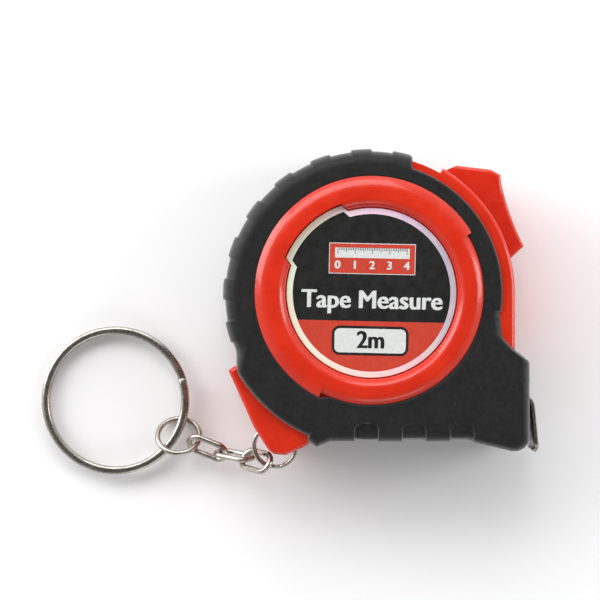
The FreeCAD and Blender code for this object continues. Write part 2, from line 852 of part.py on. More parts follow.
PARTS = {
    "front_shell": front_shell,
    "back_shell": back_shell,
    "front_grip": front_grip,
    "back_grip": back_grip,
    "front_label": front_label,
    "case_screws": case_screws,
    "lug_pin": lug_pin,
    "spindle": spindle,
    "reel_drum": reel_drum,
    "reel_flange": reel_flange,
    "power_spring": power_spring,
    "blade_coil": blade_coil,
    "blade_lead": blade_lead,
    "end_hook": end_hook,
    "hook_rivets": hook_rivets,
    "lock_button": lock_button,
    "lug_ring": lug_ring,
    "jump_ring": jump_ring,
    "key_ring": key_ring,
}
for link_number in (1, 2, 3):
    link_name = f"chain_link_{link_number}"
    PARTS[link_name] = lambda name=link_name: oval_link(*CHAIN[name])


def main():
    os.makedirs("parts", exist_ok=True)
    for name, make in PARTS.items():
        shape = make()
        shape.exportStep(f"parts/{name}.step")
        box = shape.BoundBox
        print(
            f"{name:14s} solids {len(shape.Solids)} valid {shape.isValid()} volume {shape.Volume:9.2f}"
            f"  x {box.XMin:7.2f} {box.XMax:7.2f}  y {box.YMin:7.2f} {box.YMax:7.2f}"
            f"  z {box.ZMin:6.2f} {box.ZMax:6.2f}"
        )


main()
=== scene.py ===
# %% [markdown]
# Pocket tape measure with a key chain
#
# The object is a 2 m pocket tape: a glossy red case in two halves, a black rubber jacket round it, a
# round label, a thumb lock, a steel hook at the mouth, and a short chain that ends in a split key
# ring. The script starts from the measured frame, which gives every part's place in metres. What is
# hard and simple in shape keeps its frame mesh and gets a finish. What is soft or printed, or made
# from wire or strip, is built again here in finer detail, in the same place.

import math

import bpy
import numpy as np
from mathutils import Matrix, Vector


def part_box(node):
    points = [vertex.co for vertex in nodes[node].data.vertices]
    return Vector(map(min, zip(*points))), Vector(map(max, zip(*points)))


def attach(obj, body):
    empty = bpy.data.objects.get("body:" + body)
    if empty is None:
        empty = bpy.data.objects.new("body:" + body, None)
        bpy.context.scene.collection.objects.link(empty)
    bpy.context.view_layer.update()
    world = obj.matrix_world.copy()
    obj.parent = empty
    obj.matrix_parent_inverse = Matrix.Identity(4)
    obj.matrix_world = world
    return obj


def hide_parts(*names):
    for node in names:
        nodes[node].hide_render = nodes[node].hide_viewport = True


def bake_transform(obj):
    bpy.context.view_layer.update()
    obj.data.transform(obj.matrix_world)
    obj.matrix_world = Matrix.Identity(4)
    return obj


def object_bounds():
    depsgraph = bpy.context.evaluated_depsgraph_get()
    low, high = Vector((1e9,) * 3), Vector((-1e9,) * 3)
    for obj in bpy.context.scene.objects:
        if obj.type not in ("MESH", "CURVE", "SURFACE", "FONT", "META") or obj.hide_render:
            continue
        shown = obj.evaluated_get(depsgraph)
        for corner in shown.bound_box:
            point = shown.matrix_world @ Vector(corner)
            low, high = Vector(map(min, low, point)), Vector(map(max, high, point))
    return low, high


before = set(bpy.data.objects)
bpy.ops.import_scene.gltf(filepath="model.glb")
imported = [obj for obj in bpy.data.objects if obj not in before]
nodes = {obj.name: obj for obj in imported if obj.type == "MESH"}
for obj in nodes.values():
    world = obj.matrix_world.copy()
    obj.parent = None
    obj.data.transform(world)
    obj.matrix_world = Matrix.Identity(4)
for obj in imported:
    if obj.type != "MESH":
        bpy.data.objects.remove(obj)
cad_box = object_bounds()
MM = 0.001

# %% [markdown]
# The camera comes first, because every later judgement is made through it. The tape lies flat on its
# back and is seen from straight above, from about half a metre, through a long lens. A long lens
# keeps the raised ring and the floor at nearly the same scale.

# %% Camera straight above
camera_data = bpy.data.cameras.new("overhead_camera")
camera_data.sensor_width = 36.0
camera_data.lens = 159.3
camera_data.clip_start, camera_data.clip_end = 0.02, 20.0
camera = bpy.data.objects.new("overhead_camera", camera_data)
camera.location = Vector((-11.57, -1.157, 450.0)) * MM
bpy.context.scene.collection.objects.link(camera)
bpy.context.scene.camera = camera
print("camera height above the floor:", camera.location.z, "m")

# %% [markdown]
# Glossy plastic and plated wire only look real when they have something soft to reflect, so the light
# comes from large panels. One on the left lights the rubber's rounded edge, and one on the right draws
# the long streaks along the rail. A broad one stands beyond the far side, and a weak one on the near
# side keeps the shadows open. The sky is pale at the horizon, dark at the zenith and weaker on the
# near side, so that near slopes fall into shade.

# %% Floor, sky and light panels
bpy.context.scene.view_settings.view_transform = "Standard"


def light_panel(name, place, aim, width, height, power):
    """A soft rectangular light at a place, turned towards a point."""
    lamp = bpy.data.lights.new(name, "AREA")
    lamp.shape = "RECTANGLE"
    lamp.size, lamp.size_y = width, height
    lamp.energy = power
    panel = bpy.data.objects.new(name, lamp)
    panel.location = Vector(place)
    panel.rotation_euler = (Vector(aim) - Vector(place)).to_track_quat("-Z", "Y").to_euler()
    bpy.context.scene.collection.objects.link(panel)
    return panel


aim = (-0.005, 0.0, 0.01)
panels = [
    light_panel("panel_left", (-0.42, 0.20, 0.22), aim, 0.30, 0.40, 1.7),
    light_panel("panel_right", (0.44, 0.06, 0.24), aim, 0.16, 0.34, 0.85),
    light_panel("panel_top", (-0.10, 0.40, 0.42), aim, 0.46, 0.26, 1.25),
    light_panel("panel_front", (0.10, -0.45, 0.30), aim, 0.30, 0.16, 0.25),
]
sky = bpy.data.worlds.new("pale_sky")
sky.use_nodes = True
sky_nodes, sky_links = sky.node_tree.nodes, sky.node_tree.links
direction = sky_nodes.new("ShaderNodeTexCoord")
parts_of_direction = sky_nodes.new("ShaderNodeSeparateXYZ")
sky_ramp = sky_nodes.new("ShaderNodeValToRGB")
for element, (place, tone) in zip(sky_ramp.color_ramp.elements, ((0.40, 1.0), (0.97, 0.13))):
    element.position, element.color = place, (tone, tone, tone * 1.02, 1.0)
sky_links.new(direction.outputs["Generated"], parts_of_direction.inputs["Vector"])
sky_links.new(parts_of_direction.outputs["Z"], sky_ramp.inputs["Fac"])
sky_links.new(sky_ramp.outputs["Color"], sky_nodes["Background"].inputs["Color"])
towards_top = sky_nodes.new("ShaderNodeMapRange")
for name, number in (("From Min", -1.0), ("From Max", 1.0), ("To Min", 0.5), ("To Max", 1.45)):
    towards_top.inputs[name].default_value = number
sky_links.new(parts_of_direction.outputs["Y"], towards_top.inputs["Value"])
sky_links.new(towards_top.outputs["Result"], sky_nodes["Background"].inputs["Strength"])
bpy.context.scene.world = sky

floor_size = 3.0
floor_gap = 0.0001
half = floor_size / 2
floor_data = bpy.data.meshes.new("floor")
floor_data.from_pydata(
    [(-half, -half, 0), (half, -half, 0), (half, half, 0), (-half, half, 0)], [], [(0, 1, 2, 3)]
)
floor = bpy.data.objects.new("floor", floor_data)
floor.location.z = min(0.0, cad_box[0].z) - floor_gap
bpy.context.scene.collection.objects.link(floor)
print("light panels:", [panel.name for panel in panels], "floor at", round(floor.location.z, 5), "m")

# %% [markdown]
# Every finish below is a small node graph: a colour that wanders a little, a roughness that is never
# even, and a fine bump. The helpers keep the graphs short. Each finish is measured in metres on the
# object itself, so that a grain of 0.2 mm is 0.2 mm on every piece.

# %% Helpers for finishes
def start_finish(name, **constants):
    """A material with its shader's even values set, ready for its varying ones."""
    material = bpy.data.materials.new(name)
    material.use_nodes = True
    shader = material.node_tree.nodes["Principled BSDF"]
    for socket, value in constants.items():
        shader.inputs[socket.replace("_", " ")].default_value = value
    return material


def add_node(material, kind, **inputs):
    """A node of a kind, with some of its sockets set or linked."""
    node = material.node_tree.nodes.new(kind)
    for name, value in inputs.items():
        socket = node.inputs[name.replace("_", " ")]
        if isinstance(value, bpy.types.NodeSocket):
            material.node_tree.links.new(value, socket)
        else:
            socket.default_value = value
    return node


def place_on_piece(material, stretch=(1, 1, 1)):
    """Coordinates in metres on the piece, optionally stretched."""
    coordinates = add_node(material, "ShaderNodeTexCoord")
    mapping = add_node(material, "ShaderNodeMapping", Vector=coordinates.outputs["Object"])
    mapping.inputs["Scale"].default_value = stretch
    return mapping.outputs["Vector"]


def grain(material, size_mm, detail=3.0, stretch=(1, 1, 1)):
    """Noise whose blobs are about this many millimetres across."""
    node = add_node(material, "ShaderNodeTexNoise", Vector=place_on_piece(material, stretch))
    node.inputs["Scale"].default_value = 1.0 / (size_mm * MM)
    node.inputs["Detail"].default_value = detail
    return node.outputs["Fac"]


def spread(material, value, low, high, start=0.35, end=0.65):
    """A value moved from one range into another and held at its ends."""
    node = add_node(material, "ShaderNodeMapRange", Value=value)
    for name, number in (("From Min", start), ("From Max", end), ("To Min", low), ("To Max", high)):
        node.inputs[name].default_value = number
    return node.outputs["Result"]


def ramp(material, value, *stops):
    """A colour chosen by a value from (place, colour) stops."""
    node = add_node(material, "ShaderNodeValToRGB", Fac=value)
    elements = node.color_ramp.elements
    while len(elements) < len(stops):
        elements.new(0.5)
    for element, (place, colour) in zip(elements, stops):
        element.position = place
        element.color = (*colour, 1.0)
    return node.outputs["Color"]


def mix(material, share, first, second):
    """Two colours mixed by a share."""
    node = add_node(material, "ShaderNodeMix")
    node.data_type = "RGBA"
    for socket, value in ((node.inputs[0], share), (node.inputs[6], first), (node.inputs[7], second)):
        if isinstance(value, bpy.types.NodeSocket):
            material.node_tree.links.new(value, socket)
        else:
            socket.default_value = value if isinstance(value, float) else (*value, 1.0)
    return node.outputs[2]


def join_finish(material, colour=None, roughness=None, bump=None, depth_mm=0.01, strength=0.5):
    """Links the varying colour, roughness and bump to the shader."""
    links = material.node_tree.links
    shader = material.node_tree.nodes["Principled BSDF"]
    if colour is not None:
        links.new(colour, shader.inputs["Base Color"])
    if roughness is not None:
        links.new(roughness, shader.inputs["Roughness"])
    if bump is not None:
        node = add_node(material, "ShaderNodeBump", Height=bump)
        node.inputs["Distance"].default_value = depth_mm * MM
        node.inputs["Strength"].default_value = strength
        links.new(node.outputs["Normal"], shader.inputs["Normal"])
    return material


def wear(obj, finish):
    """Puts one finish on an object, in place of what it had."""
    obj.data.materials.clear()
    obj.data.materials.append(finish)
    return obj


# %% [markdown]
# The floor is a matt white board. It still gets a very faint mottle, as even a painted board has.

# %% White board
board = start_finish("white_board")
join_finish(
    board,
    ramp(board, grain(board, 60.0), (0.3, (0.93, 0.93, 0.93)), (0.7, (0.96, 0.96, 0.96))),
    spread(board, grain(board, 8.0), 0.7, 0.85),
    grain(board, 1.2),
    0.01,
)
wear(floor, board)
print("finish:", board.name)

# %% [markdown]
# The case is injection-moulded ABS with a polished skin. Such plastic has a clear gloss, a very fine
# orange-peel waviness, and hairline scuffs from pockets. The colour is dyed in, so it hardly varies,
# but it glows a little deeper in the thick spots. The thumb lock is the same plastic, with more
# scuffs from the thumb.

# %% Red case plastic
def moulded_red(name, scuffs):
    """Glossy orange-red plastic. Scuffs is how much of the skin is dulled."""
    finish = start_finish(name, Coat_Weight=0.15, Coat_Roughness=0.05, IOR=1.50)
    tint = grain(finish, 5.0, 2.0)
    body = ramp(finish, tint, (0.3, (0.58, 0.020, 0.005)), (0.7, (0.66, 0.027, 0.007)))
    scratch = grain(finish, 0.35, 2.0, stretch=(0.12, 1.0, 1.0))
    dull = spread(finish, scratch, 0.0, scuffs, 0.56, 0.72)
    colour = mix(finish, dull, body, (0.72, 0.08, 0.05))
    rough = spread(finish, grain(finish, 1.6), 0.16, 0.24 + scuffs * 0.25)
    return join_finish(finish, colour, rough, grain(finish, 0.9, 2.0), 0.006, 0.35)


red_case = moulded_red("red_case_plastic", 0.10)
red_lock = moulded_red("red_lock_plastic", 0.22)
wear(nodes["front_shell"], red_case)
wear(nodes["back_shell"], red_case)
wear(nodes["lock_button"], red_lock)
print("finish:", red_case.name, "and", red_lock.name)

# %% [markdown]
# The jacket is thermoplastic rubber, black with a satin skin that is finely textured and holds dust.
# So the finish has a leathery micro bump, a sheen at the grazing edges and pale dust specks. Its colour
# is also painted light grey where the skin turns away from the eye: a painted highlight on the edges.

# %% Black rubber
rubber = start_finish(
    "black_rubber", Sheen_Weight=0.35, Sheen_Roughness=0.35, IOR=1.45, Specular_IOR_Level=0.32
)
patches = grain(rubber, 3.0, 4.0)
clean = ramp(rubber, patches, (0.3, (0.008, 0.008, 0.0078)), (0.7, (0.013, 0.013, 0.0127)))
specks = spread(rubber, grain(rubber, 0.16, 1.0), 0.0, 1.0, 0.74, 0.80)
# Painted highlight: the colour is mixed towards light grey where the skin faces away from the eye, so the
# rounded edges look lit from the side.
turned_away = add_node(rubber, "ShaderNodeLayerWeight")
painted_rim_highlight = spread(rubber, turned_away.outputs["Facing"], 0.0, 1.0, 0.18, 1.0)
painted_rim_colour = mix(rubber, painted_rim_highlight, clean, (0.13, 0.13, 0.127))
join_finish(
    rubber,
    mix(rubber, specks, painted_rim_colour, (0.075, 0.075, 0.070)),
    spread(rubber, grain(rubber, 0.8), 0.44, 0.58),
    grain(rubber, 0.13, 2.0),
    0.012,
    0.55,
)
print("finish:", rubber.name)

# %% [markdown]
# The metals: the chain is nickel plated and warm in tone, the hook is harder and a bit darker, and
# the screws and the pin are zinc plated. All of them are full metals whose roughness is broken up by
# drawing lines and tiny pits.

# %% Plated wire, hook, screws and springs
def plated(name, dark, light, low, high, line_size=0.25, stretch=(1, 1, 1), depth_mm=0.004):
    """A metal finish between two tones and two roughness values."""
    finish = start_finish(name, Metallic=1.0)
    cloud = grain(finish, 1.8, 4.0)
    pits = grain(finish, line_size, 3.0, stretch)
    tone = ramp(finish, cloud, (0.3, dark), (0.7, light))
    colour = mix(finish, spread(finish, pits, 0.0, 0.35, 0.55, 0.75), tone, tuple(0.55 * c for c in dark))
    return join_finish(finish, colour, spread(finish, pits, low, high), pits, depth_mm, 0.4)


nickel = plated("nickel_plate", (0.36, 0.33, 0.285), (0.56, 0.525, 0.47), 0.16, 0.30)
hook_steel = plated("hook_steel", (0.26, 0.24, 0.21), (0.42, 0.395, 0.355), 0.22, 0.38, 0.3, (1, 0.15, 1))
zinc = plated("zinc_plate", (0.50, 0.52, 0.54), (0.66, 0.68, 0.70), 0.24, 0.40)
spring_steel = plated(
    "spring_steel", (0.22, 0.24, 0.28), (0.34, 0.36, 0.40), 0.25, 0.40, 0.2, (1, 1, 0.1)
)
for name, finish in (("case_screws", zinc), ("lug_pin", zinc), ("power_spring", spring_steel)):
    wear(nodes[name], finish)
print("metals:", nickel.name, hook_steel.name, zinc.name, spring_steel.name)

# %% [markdown]
# Inside the case the reel is moulded in black polystyrene and the spindle in natural nylon, which is
# cloudy and off-white.

# %% Reel and spindle plastics
reel_black = start_finish("reel_black", IOR=1.55)
join_finish(
    reel_black,
    ramp(reel_black, grain(reel_black, 4.0), (0.3, (0.018, 0.018, 0.02)), (0.7, (0.035, 0.035, 0.038))),
    spread(reel_black, grain(reel_black, 1.0), 0.30, 0.45),
    grain(reel_black, 0.4),
    0.01,
)
nylon = start_finish("natural_nylon", IOR=1.53, Subsurface_Weight=0.2, Subsurface_Scale=0.001)
join_finish(
    nylon,
    ramp(nylon, grain(nylon, 2.0), (0.3, (0.72, 0.69, 0.60)), (0.7, (0.80, 0.78, 0.70))),
    spread(nylon, grain(nylon, 0.8), 0.35, 0.5),
    grain(nylon, 0.3),
    0.01,
)
wear(nodes["reel_drum"], reel_black)
wear(nodes["reel_flange"], reel_black)
wear(nodes["spindle"], nylon)
print("finish:", reel_black.name, nylon.name)

# %% [markdown]
# Meshes come from rows of points. A surface is a grid: one row of points for each station along the
# piece, joined to the next row. This one helper then makes the rubber, the wire, the rivets and the
# blade.

# %% Mesh helpers
def mesh_piece(name, points, faces, finish, smooth_angle=40.0):
    """An object from points in millimetres and faces, shaded smooth except at sharp corners."""
    data = bpy.data.meshes.new(name)
    data.from_pydata([tuple(p) for p in np.asarray(points, float) * MM], [], faces)
    data.validate()
    data.polygons.foreach_set("use_smooth", [True] * len(data.polygons))
    data.set_sharp_from_angle(angle=math.radians(smooth_angle))
    obj = bpy.data.objects.new(name, data)
    bpy.context.scene.collection.objects.link(obj)
    return wear(obj, finish)


def grid_faces(rows, columns, rows_closed=True, columns_closed=True, start=0):
    """Quads that join a grid of points."""
    faces = []
    for r in range(rows if rows_closed else rows - 1):
        for c in range(columns if columns_closed else columns - 1):
            r2, c2 = (r + 1) % rows, (c + 1) % columns
            corners = (r * columns + c, r2 * columns + c, r2 * columns + c2, r * columns + c2)
            faces.append(tuple(start + corner for corner in corners))
    return faces


def grid_border(rows, columns):
    """The numbers of the points round a grid's edge, in order."""
    last_row, last_column = (rows - 1) * columns, columns - 1
    border = list(range(columns)) + [r * columns + last_column for r in range(1, rows)]
    border += [last_row + c for c in reversed(range(last_column))]
    return border + [r * columns for r in reversed(range(1, rows - 1))]


def ease(value):
    """A smooth step from 0 to 1."""
    value = np.clip(value, 0.0, 1.0)
    return value * value * (3 - 2 * value)


def polar(radius, degrees):
    """A flat point at a radius and an angle round the spindle."""
    turn = math.radians(degrees)
    return (radius * math.cos(turn), radius * math.sin(turn))


# %% [markdown]
# The rubber jacket is two soft halves, one on each side of a bare red stripe. Seen from the spindle,
# its outer edge is one loop: round on the left with raised grip blocks, flat along the base, square at
# the nose, and a thin band beside the rail. So each half is a loft. At every angle round the
# spindle it has the same kind of cross-section: up the ring's side, over the face, round the soft edge and
# down the wall. Only the reach, the edge radius, the wall's foot and the inner radius change with the
# angle. First come those numbers.

# %% Sizes of the rubber
centre_depth = (cad_box[0].z + cad_box[1].z) / 2 / MM
face_depth = 10.1
plate_depth = 9.3
strip_half = 1.2
wall_radius = 23.8
wall_centre = (-0.3, -0.4)
dent = 0.4
shell_radius = 22.32
rail_radius = 23.27
ring_radius = 18.9
ring_step = 0.8
narrow_start, narrow_end = 243.0, 391.0
band_radius = 21.2
grip_low, grip_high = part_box("front_grip")
base_line = -24.12
nose_x = grip_high.x / MM
toe_y = grip_low.y / MM
lug_span = (209.5, 247.0)
lug_wall_start, lug_wall_ease, lug_wall_edge, lug_wall_rise = 202, 10, 1.2, 1.0
wall_edge, block_extra_edge = 2.1, 0.4
top_end_round, top_end_drop, top_end_span = 75, 1.1, 3
round_end, after_round_edge = 251.5, 1.6
toe_start, base_edge, toe_edge = 316, 1.9, 1.7
band_start, band_edge = 337.0, 0.45
print("middle plane at", round(centre_depth, 3), "mm")


# %% Outline of the rubber
def rounded_corner(before, corner, after, radius, steps=7):
    """Points that cut a corner of a flat outline with an arc-like curve."""
    before, corner, after = (np.array(p, float) for p in (before, corner, after))
    a, b = before - corner, after - corner
    a, b = a / np.linalg.norm(a), b / np.linalg.norm(b)
    opening = math.acos(np.clip(a @ b, -1, 1))
    cut = radius / math.tan(opening / 2)
    middle_line = (a + b) / np.linalg.norm(a + b)
    pivot = corner + middle_line * radius / math.sin(opening / 2)
    first, last = corner + a * cut - pivot, corner + b * cut - pivot
    turn = math.atan2(first[0] * last[1] - first[1] * last[0], first @ last)
    points = []
    for step in range(steps + 1):
        c, s = math.cos(turn * step / steps), math.sin(turn * step / steps)
        points.append(pivot + (first[0] * c - first[1] * s, first[0] * s + first[1] * c))
    return points


base_corners = [
    ((-10.6, -21.0), 0.0),
    ((-10.3, base_line + 0.1), 0.5),
    ((-9.0, base_line - 0.95), 0.5),
    ((-6.6, base_line), 0.9),
    ((nose_x - 9.8, base_line), 6.0),
    ((nose_x - 2.9, toe_y), 1.6),
    ((nose_x, toe_y), 2.3),
    ((nose_x, -11.15), 0.9),
    ((rail_radius + 0.15, -9.4), 0.8),
    ((band_radius + 0.2, -7.2), 1.6),
    ((20.9, -2.0), 0.0),
]
outline = []
for index, (corner, radius) in enumerate(base_corners):
    if radius == 0.0:
        outline.append(np.array(corner, float))
    else:
        outline += rounded_corner(base_corners[index - 1][0], corner, base_corners[index + 1][0], radius)
outline = np.array(outline)
outline_angle = np.unwrap(np.arctan2(outline[:, 1], outline[:, 0])) % (2 * math.pi)
outline_angle[outline_angle < math.pi / 2] += 2 * math.pi
outline_angle = np.degrees(outline_angle)


def round_reach(degrees, radius):
    """How far the round wall, whose centre is a little off the spindle, reaches at an angle."""
    turn = math.radians(degrees)
    along = wall_centre[0] * math.cos(turn) + wall_centre[1] * math.sin(turn)
    across = wall_centre[0] * math.sin(turn) - wall_centre[1] * math.cos(turn)
    return along + math.sqrt(radius**2 - across**2)


def base_reach_at(degrees):
    """How far the straight-sided base and nose reach at an angle, or 0 outside them."""
    turn = math.radians(degrees)
    along = np.array((math.cos(turn), math.sin(turn)))
    best = 0.0
    for a, b in zip(outline[:-1], outline[1:]):
        side = b - a
        cross = along[0] * side[1] - along[1] * side[0]
        if abs(cross) < 1e-9:
            continue
        reach = (a[0] * side[1] - a[1] * side[0]) / cross
        share = (a[0] * along[1] - a[1] * along[0]) / cross
        if reach > 0 and -1e-6 <= share <= 1 + 1e-6:
            best = max(best, reach)
    return best


print("base outline points:", len(outline))
print("base outline angles:", outline_angle.min().round(1), "to", outline_angle.max().round(1))

# %% [markdown]
# The grip blocks are stretches of the wall that stand 0.4 mm proud. Their ends are short slanted
# steps, so the blocks rise over a third of a millimetre and don't form sharp radial edges.

# %% Reach, edge radius and foot at each angle
block_first, block_pitch, block_width = 77.1, 16.9, 8.3
block_middles = [block_first + number * block_pitch for number in range(8)]
step_degrees = 0.9


def block_height(degrees):
    """How far a grip block stands out here, from 0 to 1."""
    height = 0.0
    for middle_angle in block_middles:
        off = abs(degrees - middle_angle)
        height = max(height, float(ease((block_width / 2 + step_degrees / 2 - off) / step_degrees)))
    return height


def rubber_section(degrees):
    """Reach, edge radius, foot depth and inner radius of the rubber at an angle from 72 to 432."""
    opening = ease((degrees - narrow_start) / 6.0) * ease((narrow_end + 3.0 - degrees) / 4.0)
    inner = ring_radius - ring_step * float(opening)
    if degrees >= band_start:
        reach, edge, foot = band_radius, band_edge, plate_depth - 0.1
    elif degrees <= round_end:
        reach = round_reach(degrees, wall_radius - dent * (1 - block_height(degrees)))
        edge, foot = wall_edge + block_extra_edge * block_height(degrees), strip_half
        if degrees < top_end_round:
            past = (top_end_round - degrees) / top_end_span
            reach -= top_end_drop * (1 - math.sqrt(1 - past**2))
        if degrees > lug_wall_start:
            over_lug = float(ease((degrees - lug_wall_start) / lug_wall_ease))
            reach = reach + (round_reach(degrees, wall_radius + lug_wall_rise) - reach) * over_lug
            edge = edge + (lug_wall_edge - edge) * over_lug
    else:
        reach, edge, foot = round_reach(degrees, wall_radius), after_round_edge, strip_half
    if degrees > 240:
        straight = base_reach_at(degrees)
        if straight > reach:
            reach = straight
            edge = base_edge if degrees < toe_start else toe_edge
    if lug_span[0] <= degrees <= lug_span[1]:
        foot = 8.35
    return reach, edge, foot, inner


angles = list(np.arange(72.0, 432.001, 0.4))
for middle_angle in block_middles:
    for side in (-1, 1):
        end = middle_angle + side * block_width / 2
        angles += list(end + np.linspace(-step_degrees / 2, step_degrees / 2, 6))
for jump in (*lug_span, band_start):
    angles += [jump - 0.02, jump + 0.02]
angles += list(np.degrees(np.unwrap(np.arctan2(outline[:, 1], outline[:, 0])) + 2 * math.pi) % 360)
angles = sorted({round(a if a >= 72 else a + 360, 3) for a in angles})
print("stations round the rubber:", len(angles))

# %% [markdown]
# The mouth: the blade leaves through a slot in the nose, so there the rubber's wall stops higher up.
# The three D-shaped pads on the base are shallow pockets. They are pressed into the finished grid by
# moving its points inwards wherever a pad covers them.

# %% Loft of one rubber half
mouth_low, mouth_high, mouth_half = -18.82, -16.22, 7.0
pad_middles, pad_half, pad_height = (-0.8, 6.9, 14.7), 2.0, 3.15
edge_steps = 9
mouth_span = [math.degrees(math.atan2(y, nose_x)) % 360 for y in (mouth_low, mouth_high)]


def section_points(degrees, section):
    """One cross-section, from the ring's foot over the face and down the wall, as (radius, depth)."""
    reach, edge, foot, inner = section
    if mouth_span[0] < degrees < mouth_span[1]:
        foot = mouth_half
    thick = min(0.5, edge)
    wall_foot = min(foot + 0.25, face_depth - edge - 0.02)
    inner_wall = min(shell_radius - 0.3, reach - 1.2) if foot < 9 else reach - 1.0
    rows = [(inner + 0.02, plate_depth - 0.2), (inner + 0.02, face_depth - 0.12)]
    rows.append((inner + 0.16, face_depth))
    face_end = reach - edge
    for share in np.linspace(0, 1, 17)[1:]:
        rows.append((inner + 0.16 + (face_end - inner - 0.16) * share, face_depth))
    for step in range(1, edge_steps + 1):
        t = math.pi / 2 * step / edge_steps
        rows.append((face_end + edge * math.sin(t), face_depth - edge * (1 - math.cos(t))))
    for share in np.linspace(0, 1, 8)[1:]:
        rows.append((reach, (face_depth - edge) * (1 - share) + wall_foot * share))
    rows += [(reach - 0.07, foot + 0.07), (reach - 0.25, foot)]
    rows += [(inner_wall, foot), (inner_wall, foot + thick * 0.5), (inner + 0.1, plate_depth - 0.2)]
    return rows


def pad_depth(x, y):
    """How deep a base pad is pressed in at a point: 0 outside, 1 inside."""
    best = 0.0
    for pad in pad_middles:
        off = abs(x - pad)
        side = (pad_half - off) / 0.16
        roof = (base_line + pad_height - 0.9 * (off / pad_half) ** 2.5 - y) / 0.2
        best = max(best, float(ease(min(side, roof))))
    return best


extra = []
for angle in mouth_span:
    extra += [angle - 0.02, angle + 0.02]
for pad in pad_middles:
    for side in (-1, 1):
        for inset in (0.0, 0.07, 0.15, 0.22, 0.3):
            x = pad + side * (pad_half - inset)
            extra.append(math.degrees(math.atan2(base_line, x)) % 360)
angles = sorted({round(a, 3) for a in angles + extra})
profile = [section_points(a, rubber_section(a)) for a in angles]
row_length = len(profile[0])


def rubber_half(name, side):
    """The front (side 1) or back (side -1) half of the jacket."""
    points = []
    for angle, rows in zip(angles, profile):
        c, s = math.cos(math.radians(angle)), math.sin(math.radians(angle))
        for radius, depth in rows:
            x, y = radius * c, radius * s
            if y < base_line + 3.2 and -4 < x < 18 and depth > strip_half + 0.8:
                press = pad_depth(x, y)
                near_face = ease((depth - face_depth + 1.5) / 1.0)
                depth -= 0.42 * press * near_face
                if y < base_line + 1.6:
                    y += 0.5 * press * (1 - near_face * 0.6)
            points.append((x, y, centre_depth + side * depth))
    faces = grid_faces(len(profile), row_length, rows_closed=False)
    last = (len(profile) - 1) * row_length
    caps = [tuple(range(row_length)), tuple(last + c for c in reversed(range(row_length)))]
    if side > 0:
        faces = [tuple(reversed(f)) for f in faces]
    else:
        caps = [tuple(reversed(c)) for c in caps]
    return mesh_piece(name, points, faces + caps, rubber, 55.0)


for name, side, node in (("rubber_front", 1, "front_grip"), ("rubber_back", -1, "back_grip")):
    jacket = rubber_half(name, side)
    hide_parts(node)
    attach(jacket, "case")
    print(jacket.name, "faces", len(jacket.data.polygons))

# %% [markdown]
# The label is a round foil sticker with a wider sector on its upper left. Its bare foil rim shows as a
# pale band that shifts between yellow, green and pink. On it lie the printed fields: black above,
# red below, and a white window with the length. Each ink is its own very thin layer, so that its edge
# is crisp from any side. A plain centimetre scale fills the upper field.

# %% Label outlines
label_radius, label_wider, label_foil = 13.7, 1.2, 0.95
label_floor = centre_depth + plate_depth
label_top = centre_depth + 9.6
label_tilt = math.radians(-1.3)
divider = -4.6


def label_outline(radius, wider, step=1.5):
    """Points round the label: a circle with one wider sector between two slanted steps."""
    points = []
    for reach, start, end in ((radius, 161.0, 466.0), (radius + wider, 469.0, 517.7)):
        points += [polar(reach, a) for a in (*np.arange(start, end, step), end)]
    return points


def cut_below(points, height, keep_above):
    """The part of a closed outline above or below a level line, in the label's own tilted frame."""
    c, s = math.cos(-label_tilt), math.sin(-label_tilt)
    turned = [(x * c - y * s, x * s + y * c) for x, y in points]
    kept = []
    for a, b in zip(turned, turned[1:] + turned[:1]):
        inside_a, inside_b = (a[1] >= height) == keep_above, (b[1] >= height) == keep_above
        if inside_a:
            kept.append(a)
        if inside_a != inside_b:
            share = (height - a[1]) / (b[1] - a[1])
            kept.append((a[0] + (b[0] - a[0]) * share, height))
    return [on_label(p) for p in kept]


def on_label(point):
    """A point in the label's tilted frame, moved into the case's frame."""
    c, s = math.cos(label_tilt), math.sin(label_tilt)
    return (point[0] * c - point[1] * s, point[0] * s + point[1] * c)


def layer(name, points, low, high, finish):
    """A flat printed layer between two heights, from a closed outline."""
    count = len(points)
    verts = [(x, y, low) for x, y in points] + [(x, y, high) for x, y in points]
    faces = [tuple(reversed(range(count))), tuple(range(count, 2 * count))]
    faces += [(i, (i + 1) % count, count + (i + 1) % count, count + i) for i in range(count)]
    obj = mesh_piece(name, verts, faces, finish, 30.0)
    return obj


# %% [markdown]
# Inks: the black and the red are gloss ink over foil, a little uneven like any screen print. The foil's
# rainbow shift and pale brightness are painted reflection: a real foil makes them by reflecting light
# and they shift with the eye, but here the tone is tied to the place round the label, the same from any
# side.

# %% Inks and foil
def ink(name, dark, light, low, high, size=0.5):
    """A gloss ink between two tones and two roughness values."""
    finish = start_finish(name, IOR=1.5, Coat_Weight=0.2, Coat_Roughness=0.12)
    return join_finish(
        finish,
        ramp(finish, grain(finish, size, 4.0), (0.35, dark), (0.65, light)),
        spread(finish, grain(finish, 1.5), low, high),
        grain(finish, 0.25),
        0.003,
        0.3,
    )


